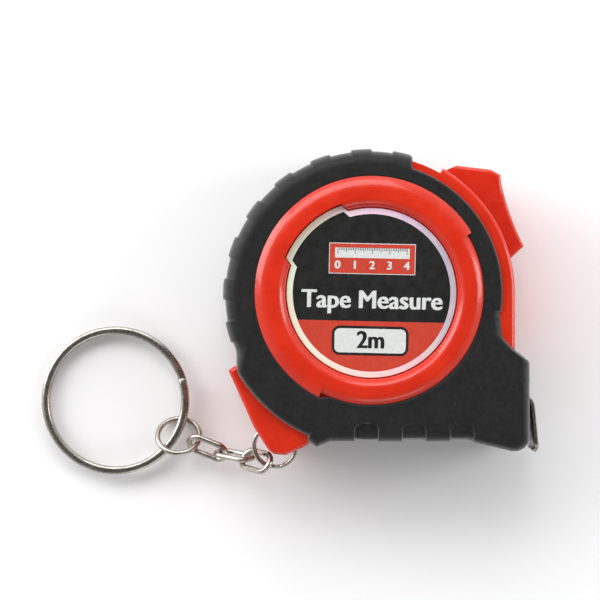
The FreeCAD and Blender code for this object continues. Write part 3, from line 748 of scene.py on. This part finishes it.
ink_black = ink("ink_black", (0.0055, 0.0055, 0.005), (0.0095, 0.009, 0.0085), 0.34, 0.46)
ink_red = ink("ink_red", (0.52, 0.046, 0.024), (0.56, 0.052, 0.028), 0.30, 0.42)
ink_white = ink("ink_white", (0.62, 0.635, 0.62), (0.68, 0.695, 0.68), 0.35, 0.5)
foil = start_finish("rainbow_foil", Coat_Weight=0.25, Coat_Roughness=0.12)
split = add_node(foil, "ShaderNodeSeparateXYZ", Vector=place_on_piece(foil))
turn = add_node(foil, "ShaderNodeMath", Value=split.outputs["Y"])
turn.operation = "ARCTAN2"
foil.node_tree.links.new(split.outputs["X"], turn.inputs[1])
# Painted reflection: the foil's rainbow colours are chosen by the angle round the label.
tone = ramp(
    foil,
    spread(foil, turn.outputs["Value"], 0.0, 1.0, -math.pi, math.pi),
    (0.0, (0.82, 0.80, 0.60)),
    (0.12, (0.84, 0.80, 0.64)),
    (0.22, (0.92, 0.68, 0.62)),
    (0.32, (0.88, 0.56, 0.60)),
    (0.42, (0.56, 0.50, 0.56)),
    (0.56, (0.50, 0.47, 0.54)),
    (0.66, (0.66, 0.50, 0.64)),
    (0.76, (0.90, 0.62, 0.80)),
    (0.86, (0.86, 0.82, 0.64)),
    (0.93, (0.76, 0.90, 0.68)),
)
# Painted reflection: a faint pale mottle of shimmer over the foil.
shimmer = spread(foil, grain(foil, 2.2, 2.0), 0.0, 0.22)
join_finish(
    foil,
    mix(foil, shimmer, tone, (0.86, 0.84, 0.76)),
    spread(foil, grain(foil, 1.2), 0.28, 0.38),
    grain(foil, 0.6),
    0.002,
    0.3,
)
print("label finishes:", ink_black.name, ink_red.name, ink_white.name, foil.name)

# %% Label fields
ink_step = 0.02
rim = layer("label_foil", label_outline(label_radius, label_wider), label_floor, label_top, foil)
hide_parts("front_label")
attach(rim, "case")
inner = label_outline(label_radius - label_foil, label_wider - 0.1)
ink_levels = (label_top, label_top + ink_step)
black_field = layer("label_black", cut_below(inner, divider, True), *ink_levels, ink_black)
red_field = layer("label_red", cut_below(inner, divider, False), *ink_levels, ink_red)
for piece in (black_field, red_field):
    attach(piece, "case")


def window_outline(centre, width, height, radius, steps=8):
    """A rounded rectangle in the label's tilted frame."""
    points = []
    for quarter, (sx, sy) in enumerate(((1, 1), (-1, 1), (-1, -1), (1, -1))):
        cx, cy = centre[0] + sx * (width / 2 - radius), centre[1] + sy * (height / 2 - radius)
        for step in range(steps + 1):
            t = math.radians(90 * quarter + 90 * step / steps)
            points.append(on_label((cx + radius * math.cos(t), cy + radius * math.sin(t))))
    return points


window_at, window_width, window_height, window_corner = (-0.05, -7.77), 11.56, 3.91, 0.85
windows = [("window_border", 0.42, 1, ink_black), ("window_white", 0.0, 2, ink_white)]
for name, grow, level, finish in windows:
    size = (window_width + 2 * grow, window_height + 2 * grow, window_corner + grow)
    outline_points = window_outline(window_at, *size)
    low = label_top + ink_step * level
    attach(layer(name, outline_points, low, low + ink_step, finish), "case")
print("label layers up to", round(label_top + 3 * ink_step, 3), "mm")

# %% [markdown]
# Lettering is set with a text object, then turned into a mesh. The built-in letter shapes are light and
# wide, so each word is laid down four times, slightly apart, and narrowed. That gives the
# bold condensed look of a printed label.

# %% Lettering
capital_share = 0.73
copy_step = 0.003
copy_shifts = ((-1, -0.3), (-0.33, 0.3), (0.33, -0.3), (1, 0.3))


def lettering(name, text, at, height, finish, low, bold, width=None):
    """Words printed at a point of the label, centred, with capitals of a given height in millimetres."""
    curve = bpy.data.curves.new(name, "FONT")
    curve.body = text
    curve.align_x, curve.align_y = "CENTER", "CENTER"
    curve.resolution_u = 3
    curve.extrude = 0.004
    helper = bpy.data.objects.new(name + "_helper", curve)
    bpy.context.scene.collection.objects.link(helper)
    bpy.context.view_layer.update()
    shape = bpy.data.meshes.new_from_object(helper.evaluated_get(bpy.context.evaluated_depsgraph_get()))
    bpy.data.objects.remove(helper)
    co = np.array([v.co for v in shape.vertices], float)
    size = height / capital_share
    x, y = co[:, 0] * size, co[:, 1] * size
    if width:
        x *= (width - 2 * bold) / (x.max() - x.min())
    x -= (x.max() + x.min()) / 2
    z = np.where(co[:, 2] > 0, low + ink_step, low)
    outlines = [tuple(face.vertices) for face in shape.polygons]
    bpy.data.meshes.remove(shape)
    verts, faces = [], []
    for copy, (shift_x, shift_y) in enumerate(copy_shifts):
        start = len(verts)
        for px, py, pz in zip(x, y, z + copy_step * copy):
            verts.append((*on_label((px + shift_x * bold + at[0], py + shift_y * bold + at[1])), pz))
        faces += [tuple(start + i for i in face) for face in outlines]
    obj = mesh_piece(name, verts, faces, finish, 30.0)
    return obj


first_ink, third_ink = label_top + ink_step, label_top + 3 * ink_step
title = lettering("label_title", "Tape Measure", (0.1, -1.25), 3.0, ink_white, first_ink, 0.135, 22.9)
length_mark = lettering("label_length", "2m", (0.0, -7.75), 2.85, ink_black, third_ink, 0.14, 4.5)
for piece in (title, length_mark):
    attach(piece, "case")
print("lettering:", title.name, length_mark.name)

# %% Centimetre scale on the label
scale_left, scale_right, scale_low, scale_high, scale_line = -7.0, 7.0, 3.0, 8.0, 0.12
tick_count, first_tick, tick_pitch, tick_half, strip_low, strip_high = 41, -5.6, 0.28, 0.04, 5.6, 7.25


def box_outline(left, right, low, high):
    """The corners of a box in the label's tilted frame."""
    return [on_label(p) for p in ((left, low), (right, low), (right, high), (left, high))]


frame_edges = (scale_left, scale_right, scale_low, scale_high)
field_edges = tuple(edge + side * scale_line for edge, side in zip(frame_edges, (1, -1, 1, -1)))
strip_edges = (scale_left + 0.95, scale_right - 0.95, strip_low, strip_high)
plates = [
    ("scale_frame", frame_edges, 1, ink_white),
    ("scale_field", field_edges, 2, ink_red),
    ("scale_strip", strip_edges, 3, ink_white),
]
for name, edges, level, finish in plates:
    low = label_top + ink_step * level
    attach(layer(name, box_outline(*edges), low, low + ink_step, finish), "case")
tick_points, tick_faces = [], []


def add_bar(left, right, low, high, level):
    """One printed bar, added to the tick mesh."""
    start = len(tick_points)
    bottom, top = label_top + ink_step * level, label_top + ink_step * (level + 1)
    for z in (bottom, top):
        tick_points.extend([(x, y, z) for x, y in box_outline(left, right, low, high)])
    sides = [(a, (a + 1) % 4, (a + 1) % 4 + 4, a + 4) for a in range(4)]
    for corners in ((3, 2, 1, 0), (4, 5, 6, 7), *sides):
        tick_faces.append(tuple(start + i for i in corners))


for number in range(tick_count):
    x = first_tick + number * tick_pitch
    tall = 0.95 if number % 10 == 0 else 0.7 if number % 5 == 0 else 0.45
    add_bar(x - tick_half, x + tick_half, strip_high - tall, strip_high, 4)
ticks = mesh_piece("scale_ticks", tick_points, tick_faces, ink_black, 30.0)
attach(ticks, "case")
number_level, number_height, number_bold = 4.4, 1.35, 0.09
for n in range(5):
    at = (first_tick + n * 10 * tick_pitch, number_level)
    piece = lettering(f"scale_{n}", str(n), at, number_height, ink_white, third_ink, number_bold)
    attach(piece, "case")
print("scale ticks:", tick_count, "and numbers to", n)

# %% [markdown]
# Wire is a small circle carried along a path. A ring's path lies in one plane, and that plane is
# read from the frame's own piece: its centre, and the axis along which the piece is thinnest. So each
# ring lands where it hangs in the chain.

# %% Ring helper
def ring_wire(
    name, mean_radius, lift, half_width, half_height, turns, start_degrees, gap, matrix, finish, square=0.0
):
    """A ring of wire in its own plane, wound for some turns, with rounded ends.

    lift is how far the turns are apart, gap how many degrees the ends fall short of whole turns.
    """
    samples_per_turn, around = 160, 16
    if turns == 1:
        stations = np.linspace(gap / 2, 360 - gap / 2, samples_per_turn)
    else:
        stations = np.linspace(0, 720 - gap, 2 * samples_per_turn)
    points = []
    ends = (stations[0], stations[-1])
    for station in stations:
        turn = math.radians(station + start_degrees)
        level = 0.0
        if turns == 2:
            change = ease((station - (360 - gap * 0.9)) / (gap * 0.9))
            level = lift * (float(change) - 0.5)
        near_end = min(station - ends[0], ends[1] - station) * math.pi / 180 * mean_radius
        taper = math.sqrt(max(0.0, 1 - max(0.0, 1 - near_end / (half_height * 0.7)) ** 2))
        taper = 0.72 + 0.28 * taper
        for step in range(around):
            t = 2 * math.pi * step / around
            cx, cy = math.cos(t), math.sin(t)
            power = 1 - 0.5 * square
            px = math.copysign(abs(cx) ** power, cx) * half_width * taper
            py = math.copysign(abs(cy) ** power, cy) * half_height * taper
            radius = mean_radius + px
            points.append(matrix @ Vector((radius * math.cos(turn), radius * math.sin(turn), level + py)))
    rows = len(stations)
    faces = grid_faces(rows, around, rows_closed=False)
    faces += [tuple(range(around)), tuple((rows - 1) * around + c for c in reversed(range(around)))]
    return mesh_piece(name, [tuple(p) for p in points], [tuple(reversed(f)) for f in faces], finish, 50.0)


def node_plane(node):
    """The centre of a flat node and the axes of its plane, in millimetres, from its own vertices."""
    co = np.array([v.co for v in nodes[node].data.vertices], float) / MM
    weighted, total = np.zeros(3), 0.0
    for polygon in nodes[node].data.polygons:
        weighted += np.array(polygon.center) / MM * polygon.area
        total += polygon.area
    centre = weighted / total
    offsets = co - centre
    axes = np.linalg.eigh(offsets.T @ offsets)[1]
    normal = Vector(axes[:, 0])
    if normal.z < 0:
        normal = -normal
    long_axis = Vector(axes[:, 2])
    side = normal.cross(long_axis)
    matrix = np.array([list(long_axis), list(side), list(normal)]).T
    return Vector(centre), matrix


def plane_matrix(centre, matrix):
    """The matrix that places a ring's own plane in the frame."""
    full = Matrix([list(row) + [0.0] for row in matrix] + [[0, 0, 0, 1]])
    return Matrix.Translation(centre) @ full


def heading_turn(matrix, degrees):
    """The turn in a ring's own plane that points to a heading on the floor."""
    aim = Vector((math.cos(math.radians(degrees)), math.sin(math.radians(degrees)), 0))
    local = matrix.to_3x3().transposed() @ aim
    return math.degrees(math.atan2(local.y, local.x))


ring_frames = {n: plane_matrix(*node_plane(n)) for n in ("key_ring", "lug_ring", "jump_ring")}
for name, matrix in ring_frames.items():
    print(name, "centre", [round(v, 2) for v in matrix.translation])

# %% [markdown]
# A split ring is one wire wound twice. At one spot the wire steps from the lower turn to the upper
# one, and there its two ends stop. The key ring's wire is flat, the small ring in the case's
# corner is the same kind in thin wire, and the jump ring is a single turn with a closed butt joint.

# %% Key ring, corner ring and jump ring
key_ring = ring_wire(
    "key_ring_wire", 11.8, 1.0, 0.68, 0.49, 2, heading_turn(ring_frames["key_ring"], 42.0), 24.0,
    ring_frames["key_ring"], nickel, 0.45,
)
lug_ring = ring_wire(
    "lug_ring_wire", 3.5, 0.7, 0.34, 0.34, 2, heading_turn(ring_frames["lug_ring"], -70.0), 30.0,
    ring_frames["lug_ring"], nickel, 0.15,
)
jump_ring = ring_wire(
    "jump_ring_wire", 3.55, 0.0, 0.45, 0.45, 1, heading_turn(ring_frames["jump_ring"], 75.0), 1.2,
    ring_frames["jump_ring"], nickel,
)
for piece, body in ((key_ring, "key_ring"), (lug_ring, "lug_ring"), (jump_ring, "jump_ring")):
    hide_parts(body)
    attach(piece, body)
print("rings:", key_ring.name, lug_ring.name, jump_ring.name)

# %% [markdown]
# A chain link is bent from round wire and welded on one long side. The weld leaves a slight bulge,
# and the press that closes the link flattens its sides a little.

# %% Chain links
link_wire, link_length, link_width = 1.0, 7.6, 4.2


def chain_link(name, node):
    """An oval link in the plane of a frame piece, with a weld in the middle of one side."""
    matrix = plane_matrix(*node_plane(node))
    bow, straight = (link_width - link_wire) / 2, (link_length - link_width) / 2
    path = []
    for step in range(28):
        t = math.pi * (step / 27 - 0.5)
        path.append((straight + bow * math.cos(t), bow * math.sin(t), (1, step)))
    for share in np.linspace(0, 1, 16)[1:-1]:
        path.append((straight - 2 * straight * share, bow, (2, share)))
    for step in range(28):
        t = math.pi * (step / 27 + 0.5)
        path.append((-straight + bow * math.cos(t), bow * math.sin(t), (3, step)))
    for share in np.linspace(0, 1, 16)[1:-1]:
        path.append((-straight + 2 * straight * share, -bow, (4, share)))
    count, around = len(path), 18
    points = []
    for index in range(count):
        x, y, (part, share) = path[index]
        before, after = path[index - 1], path[(index + 1) % count]
        ahead = Vector((after[0] - before[0], after[1] - before[1], 0)).normalized()
        side = Vector((ahead.y, -ahead.x, 0))
        radius = link_wire / 2
        if part == 2:
            bulge = 0.07 * math.exp(-(((share - 0.5) / 0.10) ** 2))
            groove = 0.05 * math.exp(-(((share - 0.5) / 0.03) ** 2))
            radius *= 1 + bulge - groove
        for step in range(around):
            t = 2 * math.pi * step / around
            out = side * (math.cos(t) * radius) + Vector((0, 0, math.sin(t) * radius * 0.97))
            points.append(tuple(matrix @ (Vector((x, y, 0)) + out)))
    obj = mesh_piece(name, points, grid_faces(count, around), nickel, 60.0)
    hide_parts(node)
    return obj


for number in (1, 2, 3):
    link = chain_link(f"link_wire_{number}", f"chain_link_{number}")
    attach(link, f"link_{number}")
print("links:", 3)

# %% [markdown]
# The hook is a strip of spring steel, bent down in front of the nose, with a curled lip at its foot.
# Its tab lies on the blade under two rivets. The side view is drawn as one smooth line, given a
# thickness, and pulled out to its width with rounded lower corners.

# %% Hook
hook_back = nose_x + 0.06
hook_thick = 0.8
plate_half, tab_half, foot_round = 6.0, 5.4, 1.6
blade_low_y, blade_top_y = (corner.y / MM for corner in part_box("blade_lead"))
tab_level = blade_top_y + 0.06
hook_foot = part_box("end_hook")[0].y / MM
hook_line = [
    (hook_back - 10.0, tab_level + hook_thick / 2),
    (hook_back - 4.0, tab_level + hook_thick / 2),
    (hook_back - 0.9, tab_level + hook_thick / 2),
    (hook_back - 0.05, tab_level + hook_thick / 2 - 0.08),
    (hook_back + 0.45, tab_level - 0.12),
    (hook_back + 0.70, tab_level - 0.95),
    (hook_back + 0.95, tab_level - 3.4),
    (hook_back + 1.22, hook_foot + 2.2),
    (hook_back + 1.33, hook_foot + 1.35),
    (hook_back + 1.22, hook_foot + 0.8),
    (hook_back + 0.90, hook_foot + 0.42),
]


def smooth_line(points, per_span=10):
    """A flowing line through points."""
    points = np.asarray(points, float)
    padded = np.vstack([2 * points[0] - points[1], points, 2 * points[-1] - points[-2]])
    out = []
    for i in range(1, len(padded) - 2):
        p0, p1, p2, p3 = padded[i - 1 : i + 3]
        for t in np.linspace(0, 1, per_span, endpoint=False):
            square, cube = 2 * p0 - 5 * p1 + 4 * p2 - p3, 3 * p1 - p0 - 3 * p2 + p3
            out.append(0.5 * (2 * p1 + (p2 - p0) * t + square * t**2 + cube * t**3))
    out.append(points[-1])
    return np.array(out)


side_line = smooth_line(hook_line, 8)
tangent = np.gradient(side_line, axis=0)
tangent /= np.linalg.norm(tangent, axis=1)[:, None]
normal = np.stack([-tangent[:, 1], tangent[:, 0]], 1)
hook_columns = 17
points, count = [], len(side_line)
for index in range(count):
    x, y = side_line[index]
    from_foot = max(0.0, y - hook_foot - 0.4)
    half = plate_half if x > hook_back - 0.5 else tab_half
    if from_foot < foot_round and x > hook_back:
        half = plate_half - foot_round
        half += math.sqrt(max(0.0, foot_round**2 - (foot_round - from_foot) ** 2))
    for column in range(hook_columns):
        share = column / (hook_columns - 1) * 2 - 1
        edge = math.sqrt(max(0.0, 1 - max(0.0, (abs(share) - 0.94) / 0.06) ** 2))
        points.append((x, y, centre_depth + half * share, normal[index], 0.55 + 0.45 * edge))
thick_points = []
for sign in (1, -1):
    for x, y, z, n, edge in points:
        out = sign * hook_thick / 2 * edge
        thick_points.append((x + n[0] * out, y + n[1] * out, z))
shell = len(points)
faces = grid_faces(count, hook_columns, False, False)
faces += [tuple(reversed(f)) for f in grid_faces(count, hook_columns, False, False, start=shell)]
border = grid_border(count, hook_columns)
for a, b in zip(border, border[1:] + border[:1]):
    faces.append((a, b, b + shell, a + shell))
hook = mesh_piece("hook_plate", thick_points, faces, hook_steel, 45.0)
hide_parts("end_hook")
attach(hook, "hook")
print("hook foot at", round(hook_foot, 2), "mm")

# %% [markdown]
# The rivets have low domed heads. Each is a lathe shape turned about the blade's thickness.

# %% Rivets
rivet_top = tab_level + hook_thick + 0.05
rivet_profile = [
    (0.7, blade_low_y - 0.38), (1.2, blade_low_y - 0.25), (1.4, blade_low_y - 0.02), (0.75, blade_low_y),
    (0.75, rivet_top), (1.4, rivet_top + 0.02), (1.3, rivet_top + 0.2), (0.9, rivet_top + 0.35),
    (0.4, rivet_top + 0.40),
]
points, faces = [], []
around = 28
for x in (nose_x - 7.6, nose_x - 3.4):
    start = len(points)
    for radius, level in rivet_profile:
        for step in range(around):
            t = 2 * math.pi * step / around
            points.append((x + radius * math.cos(t), level, centre_depth + radius * math.sin(t)))
    rows = len(rivet_profile)
    faces += grid_faces(rows, around, rows_closed=False, start=start)
    faces.append(tuple(start + c for c in reversed(range(around))))
    faces.append(tuple(start + (rows - 1) * around + c for c in range(around)))
rivets = mesh_piece("rivet_heads", points, faces, zinc, 35.0)
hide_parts("hook_rivets")
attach(rivets, "blade")
print("rivet heads at height", round(rivet_top, 2), "mm")

# %% [markdown]
# The blade is a yellow-painted steel strip with black millimetre lines. Inside the case it is flat and
# hidden. When it is pulled out it stretches between the case and the hook, and this strip has many
# stations along its length. The lines are painted by place, so they stay a millimetre apart however
# far the blade is out.

# %% Blade paint
blade_half = 6.5
blade_paint = start_finish("blade_paint", Coat_Weight=0.4, Coat_Roughness=0.15, IOR=1.5)
split = add_node(blade_paint, "ShaderNodeSeparateXYZ", Vector=place_on_piece(blade_paint))


def number_node(operation, first, second=None):
    """One sum on the blade's coordinates."""
    node = add_node(blade_paint, "ShaderNodeMath")
    node.operation = operation
    for socket, value in zip(node.inputs, (first, second)):
        if value is None:
            continue
        if isinstance(value, bpy.types.NodeSocket):
            blade_paint.node_tree.links.new(value, socket)
        else:
            socket.default_value = value
    return node.outputs[0]


along_blade = number_node("SUBTRACT", split.outputs["X"], hook_back * MM)
across_blade = number_node("SUBTRACT", split.outputs["Z"], (centre_depth - blade_half) * MM)
marks = None
for spacing, reach, thickness in ((1.0, 2.6, 0.18), (5.0, 3.8, 0.2), (10.0, 5.6, 0.26)):
    phase = number_node("MODULO", number_node("ABSOLUTE", along_blade), spacing * MM)
    from_line = number_node("MINIMUM", phase, number_node("SUBTRACT", spacing * MM, phase))
    on_line = number_node("LESS_THAN", from_line, thickness / 2 * MM)
    in_reach = number_node("LESS_THAN", across_blade, reach * MM)
    mark = number_node("MULTIPLY", on_line, in_reach)
    marks = mark if marks is None else number_node("MAXIMUM", marks, mark)
yellow = ramp(blade_paint, grain(blade_paint, 1.5), (0.3, (0.80, 0.56, 0.02)), (0.7, (0.86, 0.62, 0.035)))
join_finish(
    blade_paint,
    mix(blade_paint, marks, yellow, (0.012, 0.012, 0.012)),
    spread(blade_paint, grain(blade_paint, 0.8), 0.28, 0.42),
    grain(blade_paint, 0.3),
    0.004,
)
print("finish:", blade_paint.name)

# %% Blade strip
stations = np.concatenate([np.linspace(0.05, 14.0, 420), np.linspace(14.0, nose_x - 0.6, 40)[1:]])
columns = 15
points = []
for level in (blade_top_y, blade_low_y):
    for x in stations:
        for column in range(columns):
            share = column / (columns - 1) * 2 - 1
            points.append((x, level, centre_depth + blade_half * share))
shell, rows = len(stations) * columns, len(stations)
faces = [tuple(reversed(f)) for f in grid_faces(rows, columns, False, False)]
faces += grid_faces(rows, columns, False, False, start=shell)
border = grid_border(rows, columns)
for a, b in zip(border, border[1:] + border[:1]):
    faces.append((b, a, a + shell, b + shell))
blade = mesh_piece("blade_strip", points, faces, blade_paint, 30.0)
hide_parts("blade_lead")
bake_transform(blade)
print("blade stations:", rows)

# %% [markdown]
# The wound blade is hidden in the case, but it is still painted steel in close turns. From the side it
# shows the turns' edges as fine rings, so its finish has a bump that repeats with the distance
# from the spindle, and its colour is painted darker between the turns: painted shade in the gaps.

# %% Wound blade
turn_pitch = 0.14
coil_paint = start_finish("coil_paint", IOR=1.5)
rings = add_node(coil_paint, "ShaderNodeTexWave", Vector=place_on_piece(coil_paint))
rings.wave_type, rings.rings_direction = "RINGS", "Z"
rings.inputs["Scale"].default_value = 1.0 / (turn_pitch * MM) / 20 * math.pi
join_finish(
    coil_paint,
    # Painted shade: the colour darkens where the rings dip, in the gaps between the turns.
    ramp(coil_paint, rings.outputs["Fac"], (0.2, (0.30, 0.22, 0.02)), (0.8, (0.80, 0.58, 0.04))),
    spread(coil_paint, grain(coil_paint, 0.8), 0.3, 0.45),
    rings.outputs["Fac"],
    0.05,
)
wear(nodes["blade_coil"], coil_paint)
print("finish:", coil_paint.name)

# %% [markdown]
# Last, the frame's own box is written down. The model may stand only slightly proud of the frame.

# %% Frame box
print("frame box", [round(v, 5) for v in (*cad_box[0], *cad_box[1])])
